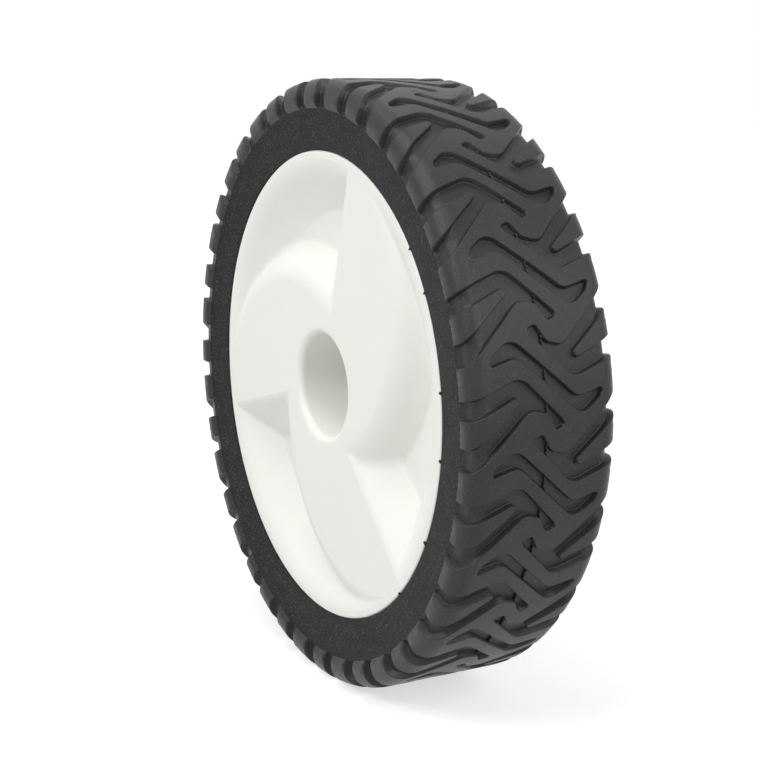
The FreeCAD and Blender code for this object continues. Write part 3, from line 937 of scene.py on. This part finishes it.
def floor_material():
    material, tree, shader = new_material("studio_floor")
    skin = skin_node(tree, 40, 3)
    colour = two_colours(tree, skin.outputs["Unevenness"], (0.56, 0.56, 0.56), (0.58, 0.58, 0.58), (-500, 300))
    tree.links.new(colour, shader.inputs["Base Color"])
    shader.inputs["Roughness"].default_value = 0.9
    shader.inputs["Specular IOR Level"].default_value = 0.1
    shader.inputs["Emission Color"].default_value = (1, 1, 1, 1)
    place = new_node(tree, "ShaderNodeTexCoord", (-1300, -300))
    distance = new_node(tree, "ShaderNodeVectorMath", (-1100, -300), operation="LENGTH")
    away = new_node(tree, "ShaderNodeMapRange", (-900, -300))
    away.inputs["From Min"].default_value = 0.2
    away.inputs["From Max"].default_value = 1.0
    away.inputs["To Min"].default_value = 0.62
    away.inputs["To Max"].default_value = 0.86
    glow = new_node(tree, "ShaderNodeMath", (-400, -400), operation="MULTIPLY")
    tree.links.new(place.outputs["Object"], distance.inputs[0])
    tree.links.new(distance.outputs["Value"], away.inputs["Value"])
    tree.links.new(away.outputs["Result"], glow.inputs[0])
    tree.links.new(looked_at(tree, (-900, -600)), glow.inputs[1])
    tree.links.new(glow.outputs["Value"], shader.inputs["Emission Strength"])
    return material


def studio_floor(reach):
    """A flat square floor under the wheel."""
    height = tyre_low.z
    mesh = bpy.data.meshes.new("floor")
    corners = [(-reach, -reach, height), (reach, -reach, height), (reach, reach, height), (-reach, reach, height)]
    mesh.from_pydata(corners, [], [(0, 1, 2, 3)])
    floor = bpy.data.objects.new("floor", mesh)
    mesh.materials.append(floor_material())
    bpy.context.scene.collection.objects.link(floor)
    return floor


floor = studio_floor(4.0)
print("floor at", round(floor.data.vertices[0].co.z, 4), "m")


# %% Room light and lamps
def white_room(light_strength):
    """A world that looks white and lights the wheel at a plain level."""
    world = bpy.data.worlds.new("white_room")
    world.use_nodes = True
    tree = world.node_tree
    tree.nodes.clear()
    seen = new_node(tree, "ShaderNodeBackground", (0, 100))
    seen.inputs["Strength"].default_value = 1.0
    lit = new_node(tree, "ShaderNodeBackground", (0, -100))
    lit.inputs["Strength"].default_value = light_strength
    for node in (seen, lit):
        node.inputs["Color"].default_value = (1, 1, 1, 1)
    mix = new_node(tree, "ShaderNodeMixShader", (250, 0))
    end = new_node(tree, "ShaderNodeOutputWorld", (450, 0))
    link = tree.links.new
    link(looked_at(tree, (-400, 300)), mix.inputs["Fac"])
    link(lit.outputs[0], mix.inputs[1])
    link(seen.outputs[0], mix.inputs[2])
    link(mix.outputs[0], end.inputs["Surface"])
    bpy.context.scene.world = world
    return world


def soft_lamp(name, place, power, width):
    """A square area lamp that faces the wheel."""
    lamp = bpy.data.lights.new(name, "AREA")
    lamp.energy = power
    lamp.size = width
    lamp.color = (0.97, 0.98, 1.0)
    piece = bpy.data.objects.new(name, lamp)
    piece.location = place
    piece.rotation_euler = (-Vector(place)).to_track_quat("-Z", "Y").to_euler()
    bpy.context.scene.collection.objects.link(piece)
    return piece


white_room(0.34)
soft_lamp("key_lamp", (0.2, -1.0, 0.85), 8.0, 0.45)
soft_lamp("top_lamp", (0.0, -0.35, 1.25), 6.5, 0.6)
soft_lamp("tread_lamp", (1.25, 0.3, 0.75), 11.0, 0.8)

# %% [markdown]
# ## The camera
# The wheel is seen from its outer side, a little from above and mostly towards the tread. The
# direction and distance were fitted to the tyre's and the rim's outlines in the photograph, so the
# perspective is the photograph's own. The camera aims straight at the middle of the wheel.


# %% Camera
def wheel_camera(azimuth, elevation, distance, lens):
    """A camera round the wheel's middle, with azimuth 0 looking along +Y."""
    turn, lift = math.radians(azimuth), math.radians(elevation)
    back = Vector((math.sin(turn) * math.cos(lift), -math.cos(turn) * math.cos(lift), math.sin(lift)))
    camera = bpy.data.cameras.new("camera")
    camera.lens = lens
    camera.sensor_width = 36
    piece = bpy.data.objects.new("camera", camera)
    piece.matrix_world = Matrix.Translation(back * distance) @ back.to_track_quat("Z", "Y").to_matrix().to_4x4()
    bpy.context.scene.collection.objects.link(piece)
    bpy.context.scene.camera = piece
    return piece


camera = wheel_camera(61.29, 10.68, 0.5355, 74)
bpy.context.scene.view_settings.view_transform = "Standard"
print("camera at", [round(c, 4) for c in camera.location])
